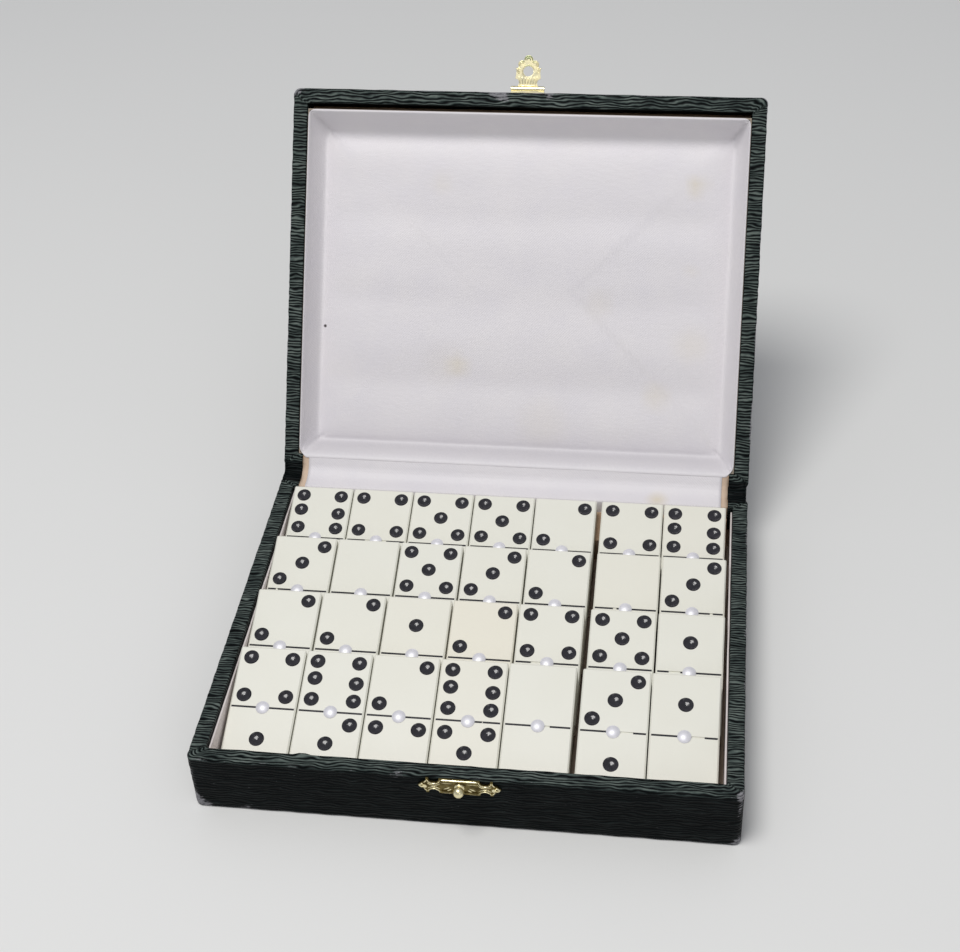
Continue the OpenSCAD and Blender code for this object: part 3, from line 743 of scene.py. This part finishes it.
# Twill stripes, yellow stains, and painted shade: the last darkens the slope along the rear edge, the lowest
# part of the open lid
for amount, share, shade in ((twill, 0.10, (0.56, 0.53, 0.59)),
                             (attribute(tree, "stain"), 0.55, (0.66, 0.56, 0.32)),
                             (attribute(tree, "painted_shade"), 0.5, (0.46, 0.445, 0.47))):
    colour = mixed(tree, times(tree, amount, share), colour, shade)
gap = tree.nodes.new("ShaderNodeVectorMath")  # the distance from a small dark speck by the left edge
gap.operation = "DISTANCE"
tree.links.new(stretched(tree, weave_at, (1, 1, 0)), gap.inputs[0])
gap.inputs[1].default_value = (-0.0775, 0.0175, 0)
speck = times(tree, gap.outputs["Value"], -2200, 1.8, clamp=True)
colour = mixed(tree, speck, colour, (0.05, 0.04, 0.04))
coated(tree, shader, colour, 0.52)
given(shader, {"Sheen Weight": 0.25, "Sheen Roughness": 0.4})
bumped(tree, shader, cloth_height, 0.00006, 0.5)

tray_half_w = 84.3 * MM
tray_front, tray_rear = -65.53 * MM, 67.48 * MM
panel_z = 8.8
SECTION = [(0, 17.55), (0.12, 18.0), (0.45, 18.22), (0.85, 18.15), (1.15, 17.8), (1.5, 17.0), (2.0, 15.6),
           (2.7, 13.8), (3.5, 12.0), (4.3, 10.5), (5.1, 9.2), (5.8, 8.2), (6.4, 7.62), (7.0, 7.42),
           (7.8, 7.5), (9.2, 7.85), (11.5, 8.3), (15, 8.6), (20, 8.75), (27, panel_z), (90, panel_z)]


def section_level(d):
    """Level of the satin, mouth up, at the distance d in millimetres from the tray's outer edge."""
    for (d0, z0), (d1, z1) in zip(SECTION, SECTION[1:]):
        if d <= d1:
            t = max(0.0, (d - d0) / (d1 - d0))
            return z0 + (z1 - z0) * t
    return SECTION[-1][1]


def satin_steps(length):
    """Distances from the near edge across the pad: close together on the slopes and wide on the panel."""
    inner = 28
    near = [d for d, _ in SECTION if d < 21] + [24, inner]
    middle = length / MM - 2 * inner
    n = round(middle / 3.2)
    run = [inner + middle * k / n for k in range(1, n)]
    return near + run + [length / MM - d for d in reversed(near)]


xs, ys = satin_steps(2 * tray_half_w), satin_steps(tray_rear - tray_front)
bm = bmesh.new()
weave = bm.verts.layers.float_vector.new("weave")
stain = layer(bm, "stain")
painted_shade = layer(bm, "painted_shade")
STAINS = [(66, -40, 4, 0.9), (66, -8, 3, 0.3), (53, 40, 6, 0.35), (-24, 31, 5, 0.5), (30, 5, 7, 0.2),
          (-33, -39, 5, 0.2), (66, 20, 8, 0.25), (-30, 30, 10, 0.12), (10, 52, 12, 0.15)]
pad_x, pad_y = 2 * tray_half_w / MM, (tray_rear - tray_front) / MM


def edge_distance(dx, dy):
    """The distance to the nearer edge, eased where the slopes of two sides meet in a corner."""
    near, k = min(dx, dy), 1.1
    eased = near if abs(dx - dy) > 6 else -math.log(math.exp(-k * dx) + math.exp(-k * dy)) / k
    return near if near < 1.2 else max(0.0, min(eased, near))


def place(v, i, j):
    x, y = xs[i], ys[j]
    dx, dy = min(x, pad_x - x), min(y, pad_y - y)
    left, front = x < pad_x / 2, y < pad_y / 2
    px, py = -tray_half_w / MM + x, tray_front / MM + y
    near = min(dx, dy)
    d = edge_distance(dx, dy)
    at_end = 1 / (1 + math.exp(dy - dx))  # 1 by the front and rear slopes, 0 by the side slopes
    tight = at_end + 1.6 * (1 - at_end)
    steep = (0.78 if front else 1.35) * at_end + 1.15 * (1 - at_end)
    z = section_level(min(d, 1.3) * tight + max(0.0, d - 1.3) * steep)

    # A crease runs down each corner
    crease = math.exp(-((dx - dy) / 0.8) ** 2) * max(0.0, min(1.0, (near - 1.5) / 2))
    z -= 0.9 * (crease * max(0.0, 1 - (near - 5) / 5 if near > 5 else 1))
    slope = max(0.0, 1 - abs(d - 4) / 4)
    z += slope * 0.35 * soft_noise(px / 3.2, py / 3.2, 11)

    # The panel swells in four soft rolls across the pad, and is a little uneven
    panel = min(1.0, max(0.0, (d - 6) / 8))
    sway = 1.5 * soft_noise(px / 40, py / 30, 5)
    z += panel * 0.8 * abs(math.sin(math.pi * (py + 59.4 + sway) / 32.7))
    broad, small = soft_noise(px / 60, py / 11, 3), soft_noise(px / 22, py / 16, 8)
    z += panel * (0.35 * broad + 0.25 * small)

    # The tray's corners are rounded, and the satin rolls over its rear edge
    round_r = 3.0
    if dx < round_r and dy < round_r:
        a, b = (round_r - dx) / round_r, (round_r - dy) / round_r
        px += (a - a * math.sqrt(1 - b * b / 2)) * round_r * (1 if left else -1)
        py += (b - b * math.sqrt(1 - a * a / 2)) * round_r * (1 if front else -1)
    if not front:
        roll = math.exp(-(dy / 1.2) ** 2) * min(1.0, dx / 3)
        py += 1.6 * roll
        z += 0.9 * roll
    v.co = Vector((px, py, z)) * MM
    along_y = py * MM - ((z - panel_z) * MM if dy < dx else 0)
    v[weave] = Vector((px * MM, along_y, z * MM if dx < dy else 0))
    # Painted shade on the slope along the rear edge, which hangs lowest when the lid is open
    v[painted_shade] = 0 if front else slope * at_end
    marks = (s * max(0.0, 1 - ((px - sx) ** 2 + (py - sy) ** 2) / r ** 2) for sx, sy, r, s in STAINS)
    v[stain] = min(1.0, sum(marks))


grid_sheet(bm, len(xs), len(ys), place)
outward(bm)
if sum(f.normal.z for f in bm.faces) < 0:
    bmesh.ops.reverse_faces(bm, faces=bm.faces)
rim = [e for e in bm.edges if len(e.link_faces) == 1]
tucked = bmesh.ops.extrude_edge_only(bm, edges=rim)["geom"]
for v in (g for g in tucked if isinstance(g, bmesh.types.BMVert)):
    v.co.z -= 4 * MM
outward(bm)
lining = finished(bm, "satin_lining", satin, 80)
flipped_into_lid(lining)
thickened(lining, 0.35 * MM)
smooth = lining.modifiers.new("soft", "SUBSURF")
smooth.levels = smooth.render_levels = 1
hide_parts("lid_satin")
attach(lining, "lid")

# The wadding under the satin: a cotton pad, crowned in the middle and thinned towards its edges.
bm = bmesh.new()
pad_low, pad_top = 3.75 * MM, 8.1 * MM
pad_w, pad_y0, pad_y1 = tray_half_w - 3 * MM, tray_front + 3 * MM, tray_rear - 3 * MM
bmesh.ops.create_cube(bm, size=1)
bmesh.ops.subdivide_edges(bm, edges=list(bm.edges), cuts=23, use_grid_fill=True)
for v in bm.verts:
    x, y, up = v.co.x * 2, v.co.y * 2, v.co.z + 0.5
    edge = max(abs(x), abs(y))
    crown = 1 - max(0.0, (edge - 0.9) / 0.1) ** 2 * 0.45
    z = pad_low + up * (pad_top * crown - pad_low)
    v.co = Vector((x * pad_w, (pad_y0 + pad_y1) / 2 + y * (pad_y1 - pad_y0) / 2, z))
    v.co.z -= up * 0.6 * MM
outward(bm)
pad = finished(bm, "wadding_pad", wool, 80)
flipped_into_lid(pad)
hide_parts("lid_wadding")
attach(pad, "lid")

# ---- Satin hinge strip ----
# The lining runs on over both rear rims as a strip of satin, glued inside the base and behind the card tray.
# It is the cloth hinge inside the box: the open lid hangs in it.
tray_y = 67.8 - rear / MM  # where the strip goes down behind the card tray
strip_path = hinge_path([(-5.45, -10.6), (-5.45, -0.75), (-5.1, -0.25), (-0.9, -0.15), (0.6, 0.2)],
                        [(0.6, 0.2), (-0.9, 0.55), (tray_y + 0.6, 0.6), (tray_y + 0.1, 1.0), (tray_y, 8)],
                        0.7 * MM)
strip, strip_l = section_sheet("satin_hinge_strip", satin, 80 * MM, 120, strip_path, 0.4 * MM,
                               ripple=0.18 * MM)
mesh = strip.data
weave_values = []
for v, along in zip(mesh.vertices, mesh.attributes["grain"].data):
    weave_values += [v.co.x, along.vector[1], 0]
mesh.attributes.new("weave", "FLOAT_VECTOR", "POINT").data.foreach_set("vector", weave_values)
spilt = Vector((56, 70, 23.3)) * MM
stains = [max(0.0, 1 - (v.co - spilt).length / (5 * MM)) for v in mesh.vertices]
mesh.attributes.new("stain", "FLOAT", "POINT").data.foreach_set("value", stains)
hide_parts("hinge_strip")
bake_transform(strip)

# ---- Catch and hasp ----
# Stamped sheet-brass fittings: a plate with leafy ends and a turned knob on the base, and on the lid a hinged
# hasp with a scalloped, fluted face and a round hole. Round-headed brass nails hold both plates.


def brass_finish(name, light, dark, contrast, rough):
    made, tree, shader = new_material(name)
    spot = object_place(tree)
    colour, mask = mottled(tree, spot, light, dark, 420, contrast)
    patches = noise_node(tree, spot, 900, 3)
    green = times(tree, attribute(tree, "patina"), patches, clamp=True)
    colour = mixed(tree, green, colour, (0.20, 0.30, 0.12))
    coated(tree, shader, colour, times(tree, mask, 0.22, rough))
    given(shader, {"Metallic": 1})
    bumped(tree, shader, noise_node(tree, spot, 2500, 3), 0.00003, 0.5)
    return made


brass = brass_finish("brass", (0.97, 0.91, 0.64), (0.85, 0.75, 0.43), 1.6, 0.22)
old_brass = brass_finish("brass_tarnished", (0.24, 0.19, 0.07), (0.08, 0.06, 0.022), 2.6, 0.3)
for node in ("catch_knob", "catch_plate_nails", "hasp_plate", "hasp_plate_nails", "hasp_hinge_pin", "hasp"):
    dressed(node, brass)
dressed("catch_plate", old_brass)


def bead(bm, path, width, height, place):
    """A raised round line along path, a list of (x, y) points on a face; both its ends taper to a point."""
    sides, taper = 8, 2.5

    def at(v, i, j):
        a, b = Vector(path[max(0, i - 1)]), Vector(path[min(len(path) - 1, i + 1)])
        across = Vector((a.y - b.y, b.x - a.x)).normalized()
        full = min(1.0, min(i, len(path) - 1 - i) / taper) ** 0.5
        turn = 2 * math.pi * j / sides
        p = Vector(path[i]) + across * math.cos(turn) * width / 2 * full
        v.co = place @ Vector((p.x, p.y, max(math.sin(turn), -0.3) * height * full))

    grid_sheet(bm, len(path), sides + 1, at)


def arc(x, y, r, a0, a1, n=12):
    """Points of an arc about (x, y) from the angle a0 to a1 in degrees."""
    angles = [math.radians(a0 + (a1 - a0) * k / n) for k in range(n + 1)]
    return [(x + r * math.cos(a), y + r * math.sin(a)) for a in angles]


def line(x0, y0, x1, y1, n=10):
    """Points of a straight line from (x0, y0) to (x1, y1)."""
    return [(x0 + (x1 - x0) * k / n, y0 + (y1 - y0) * k / n) for k in range(n + 1)]


def beads(name, rows, place, parent, patina=None):
    """A brass piece of beads; rows are (path in millimetres, width, height)."""
    bm = bmesh.new()
    green = layer(bm, "patina")
    for path, width, height in rows:
        bead(bm, [(x * MM, y * MM) for x, y in path], width * MM, height * MM, place)
    joined(bm)
    outward(bm)
    for v in bm.verts:
        v[green] = patina(v.co) if patina else 0
    made = finished(bm, name, brass, 60)
    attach(made, parent)


plate_low, plate_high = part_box("catch_plate")
knob_z = (plate_low.z + plate_high.z) / 2
half_h = (plate_high.z - plate_low.z) / 2 / MM
plate_face = -half_d - 0.6 * MM
on_catch = Matrix(((1, 0, 0, 0), (0, 0, -1, plate_face), (0, 1, 0, knob_z), (0, 0, 0, 1)))
notch_x, notch_r, mid_x, tip_x = 8.3, 1.7, 6.3, 13.3
rows = [(line(-mid_x, half_h - 0.4, mid_x, half_h - 0.4, 30), 0.55, 0.3)]
for s in (-1, 1):
    rows += [(line(s * 1.9, half_h - 1.45, s * mid_x, half_h - 1.45), 0.5, 0.28),
             (line(s * 1.9, 0.45 - half_h, s * mid_x, 0.45 - half_h), 0.5, 0.28),
             (line(s * 2.6, -half_h * 0.35, s * 4.1, -half_h * 0.62, 6), 0.5, 0.2),
             (line(s * 3.1, -half_h * 0.1, s * 5.2, -half_h * 0.42, 6), 0.45, 0.18),
             (arc(s * 12.1, 0, 0.5, 0, 340, 10), 0.35, 0.32)]
    for up in (-1, 1):
        y = up * half_h
        rows += [(line(s * 10.4, y - 0.5 * up, s * 11.6, y * 0.35, 6), 0.5, 0.3),
                 (line(s * 11.7, y * 0.3, s * tip_x, 0, 6), 0.6, 0.38),
                 (arc(s * notch_x, y, notch_r + 0.4, 180 + 12 * up, 180 + 168 * up, 16), 0.5, 0.42),
                 (arc(s * notch_x, y, notch_r + 1.15, 180 + 40 * up, 180 + 140 * up, 12), 0.42, 0.3)]
beads("catch_relief", rows, on_catch, "base")


def lathe(name, outline, steps_round):
    """A mesh turned from an outline of (radius, height) points in millimetres about the axis Z."""
    bm = bmesh.new()
    ring = [bm.verts.new((r * MM, 0, z * MM)) for r, z in outline]
    edges = [bm.edges.new(pair) for pair in zip(ring, ring[1:])]
    bmesh.ops.spin(bm, geom=ring + edges, cent=(0, 0, 0), axis=(0, 0, 1), angle=2 * math.pi,
                   steps=steps_round, use_merge=True)
    joined(bm)
    outward(bm)
    mesh = bpy.data.meshes.new(name)
    bm.to_mesh(mesh)
    bm.free()
    return mesh


def added(bm, mesh, place):
    """Adds a copy of the mesh to bm, moved to place."""
    copy = mesh.copy()
    copy.transform(place)
    bm.from_mesh(copy)
    bpy.data.meshes.remove(copy)


collar_outline = [(0, 0.9), (0.9, 0.9), (1.3, 0.75), (1.6, 0.45), (1.75, 0.1), (1.75, 0), (0, 0)]
bm = bmesh.new()
added(bm, lathe("collar", collar_outline, 32), on_catch)
knob_collar = finished(bm, "knob_collar", brass, 50)
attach(knob_collar, "base")

# The hasp's face: flutes that spread from its hinge, a ring round the hole and five scalloped lobes.
pin_low, pin_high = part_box("hasp_hinge_pin")
hasp_t, reach, hole_r = 0.7, 6.6, 1.92
hinge_line = opened.inverted() @ ((pin_low + pin_high) / 2)
rows = []
for k in range(7):
    t = k / 3 - 1
    flute = line(t * 2.9, 1.5, t * 3.1, 4.3 + 0.5 * abs(t), 8)
    rows.append(([(x * (1 + 0.10 * (y / 4) ** 2), y) for x, y in flute], 0.62, 0.16))
rows.append((line(-3.4, 1.25, 3.4, 1.25, 14), 0.5, 0.2))
rows.append((arc(0, reach, hole_r + 0.35, 0, 360, 28), 0.4, 0.16))
for x, y, r, facing in ((0, 10.8, 1.75, 90), (2.45, 9.15, 1.5, 45), (-2.45, 9.15, 1.5, 135),
                        (3.2, 6.9, 1.4, 5), (-3.2, 6.9, 1.4, 175)):
    rows.append((arc(x, y, r - 0.3, facing - 105, facing + 105, 16), 0.5, 0.18))
    rows.append((arc(x, y, r * 0.42, facing - 120, facing + 120, 10), 0.4, 0.16))
for s in (-1, 1):
    rows.append((arc(s * 6.2, 5.6, 2.6, 90 + s * 30, 90 + s * 78, 10), 0.5, 0.2))


def on_hasp(face):
    """From a face of the hasp to where it lies at rest; face is 1 for the outer and -1 for the inner one."""
    turn = Matrix(((1, 0, 0, 0), (0, -1, 0, 0), (0, 0, face, face * hasp_t / 2 * MM), (0, 0, 0, 1)))
    return opened @ Matrix.Translation(hinge_line) @ turn


crown = on_hasp(-1) @ Vector((0, 10.8 * MM, 0))
for face, label in ((-1, "inner"), (1, "outer")):
    beads(f"hasp_relief_{label}", rows, on_hasp(face), "hasp",
          lambda co: max(0.0, 2.6 - (co - crown).length / (1.3 * MM)))

# ---- Dominoes ----
# Twenty-eight pressed plastic dominoes. Glossy black enamel fills the drilled pips and the middle line, and
# is worn out of parts of some lines. A nickel pin is riveted through the middle of each.
ivory, tree, shader = new_material("tile_plastic")
spot = object_place(tree)
colour, _ = mottled(tree, spot, (0.795, 0.790, 0.715), (0.770, 0.762, 0.680), 60, 1.5)
colour = mixed(tree, attribute(tree, "tint"), colour, (0.80, 0.765, 0.655))
coated(tree, shader, colour, 0.34)
bumped(tree, shader, noise_node(tree, spot, 600, 3), 0.00002, 0.3)

enamel, tree, shader = new_material("pip_enamel")
spot = object_place(tree)
colour, _ = mottled(tree, spot, (0.014, 0.014, 0.018), (0.032, 0.030, 0.038), 900, 2)
coated(tree, shader, colour, 0.15)
bumped(tree, shader, noise_node(tree, spot, 1500, 3), 0.00005, 0.7)

nickel, tree, shader = new_material("pin_metal")
spot = object_place(tree)
colour, mask = mottled(tree, spot, (0.83, 0.825, 0.87), (0.73, 0.72, 0.775), 700, 1.6)
coated(tree, shader, colour, times(tree, mask, 0.10, 0.42))
given(shader, {"Metallic": 0.35})
bumped(tree, shader, noise_node(tree, spot, 1800, 2), 0.00002, 0.4)

tile_l, tile_w, tile_t, tile_ease, tilt = 45.5 * MM, 22.9 * MM, 8.7 * MM, 0.5 * MM, math.radians(17.6)
pip_r, pip_depth, pip_side, pip_end, pip_mid = 2.6, 0.9, 4.2 * MM, 4.1 * MM, 4.4 * MM
line_inset, line_w, pin_r, pin_h = 0.6 * MM, 0.66 * MM, 2.3, 0.9
VALUES = [
    [(6, 1), (4, 0), (5, 5), (5, 0), (2, 5), (4, 4), (6, 6)],
    [(3, 3), (0, 3), (5, 1), (3, 4), (2, 2), (0, 6), (3, 5)],
    [(2, 0), (2, 3), (1, 1), (2, 6), (4, 6), (5, 4), (1, 2)],
    [(4, 1), (6, 3), (2, 4), (6, 5), (0, 0), (3, 1), (1, 0)],
]
DIAGONAL, CROSS = [(1, 1), (-1, -1)], [(1, 1), (-1, 1), (1, -1), (-1, -1)]
PIPS = [[], [(0, 0)], DIAGONAL, DIAGONAL + [(0, 0)], CROSS, CROSS + [(0, 0)], CROSS + [(1, -0.08), (-1, 0.1)]]
# Where the enamel is gone from a middle line, in millimetres right of the pin, by row and column
WORN = {(1, 2): (-4.2, 4.0), (2, 1): (-8.0, -7.2), (2, 6): (-4.4, -3.1), (2, 7): (6.2, 7.3),
        (3, 5): (-5.6, -2.3), (3, 7): (-7.0, -3.0), (4, 4): (4.7, 5.0), (4, 5): (2.2, 4.0),
        (4, 6): (2.2, 6.6), (4, 7): (2.2, 6.6)}
# How far some dominoes have yellowed
WARM = {(3, 4): 0.9, (3, 3): 0.3, (4, 4): 0.35, (2, 6): 0.3, (1, 7): 0.25}
paint_t, paint_z = 0.24 * MM, -0.22 * MM


def dish_depth(r):
    """Depth of a pip's dish at the distance r from its middle, in millimetres."""
    ball = (pip_r ** 2 + pip_depth ** 2) / (2 * pip_depth)
    return pip_depth - ball + math.sqrt(ball ** 2 - r ** 2)


def enamel_outline(n=9):
    """The enamel in a dish: a film with a low ring round the mark of the drill's point."""
    radii = [pip_r * k / n for k in range(n + 1)]
    top = [(r, 0.06 + 0.06 * math.exp(-((r - 0.75) / 0.4) ** 2) - dish_depth(r)) for r in radii]
    return top + [(r, 0.01 - dish_depth(r)) for r in reversed(radii)]


def pin_outline(n=9):
    """The riveted pin: a domed head with an upright edge, and its shank in the domino."""
    edge = 0.16
    ball = (pin_r ** 2 + (pin_h - edge) ** 2) / (2 * (pin_h - edge))
    radii = [pin_r * k / n for k in range(n + 1)]
    head = [(r, pin_h - ball + math.sqrt(ball ** 2 - r ** 2)) for r in radii]
    return [(r, z + 0.03) for r, z in head + [(pin_r, 0), (1, 0), (1, -3.9), (0, -3.9)]]


dish, rivet = lathe("dish", enamel_outline(), 32), lathe("rivet", pin_outline(), 36)

for row in range(1, 5):
    for column in range(1, 8):
        node = f"tile_r{row}_c{column}"
        low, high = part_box(node)
        foot = ((low.x + high.x) / 2, low.y + (tile_t - tile_ease) * math.sin(tilt),
                low.z - tile_ease * math.sin(tilt))
        stand = Matrix.Translation(foot) @ Matrix.Rotation(tilt, 4, "X")
        face = stand @ Matrix.Translation((0, 0, tile_t))
        bm = bmesh.new()
        bm.from_mesh(frame["nodes"][node].data)
        bm.transform(frame["nodes"][node].matrix_world)
        joined(bm)
        tint = layer(bm, "tint")

        # The plain pin, all that is joined to the highest vertex, makes way for the modelled rivet
        up = stand.to_3x3() @ Vector((0, 0, 1))
        pin = {max(bm.verts, key=lambda v: v.co.dot(up))}
        reached = list(pin)
        while reached:
            v = reached.pop()
            fresh = {e.other_vert(v) for e in v.link_edges} - pin
            pin |= fresh
            reached += list(fresh)
        bmesh.ops.delete(bm, geom=list(pin), context="VERTS")
        for v in bm.verts:
            v[tint] = WARM.get((row, column), 0.12 * ((row * 3 + column * 5) % 7) / 6)
        outward(bm)
        body = finished(bm, f"domino_r{row}_c{column}", ivory, 25)
        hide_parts(node)
        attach(body, node)

        bm = bmesh.new()
        step_x, step_y = tile_w / 2 - pip_side, (tile_l / 2 - pip_end - pip_mid) / 2
        for half, value in zip((1, -1), VALUES[row - 1][column - 1]):
            for x, y in PIPS[value]:
                middle = (x * step_x, tile_l / 2 + half * (pip_mid + step_y) + y * step_y, 0)
                added(bm, dish, face @ Matrix.Translation(middle))
        end = tile_w / 2 / MM - line_inset / MM
        stops = [-end, *WORN.get((row, column), ()), end]
        for a, b in zip(stops[::2], stops[1::2]):
            slab = bmesh.ops.create_cube(bm, size=1)["verts"]
            at = face @ Matrix.Translation(((a + b) / 2 * MM, tile_l / 2, paint_z))
            size = Matrix.Diagonal(((b - a) * MM, line_w, paint_t, 1))
            bmesh.ops.transform(bm, verts=slab, matrix=at @ size)
        outward(bm)
        paint = finished(bm, f"enamel_r{row}_c{column}", enamel, 30)
        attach(paint, node)

        bm = bmesh.new()
        added(bm, rivet, face @ Matrix.Translation((0, tile_l / 2, 0)))
        spinner = finished(bm, f"pin_r{row}_c{column}", nickel, 30)
        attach(spinner, node)
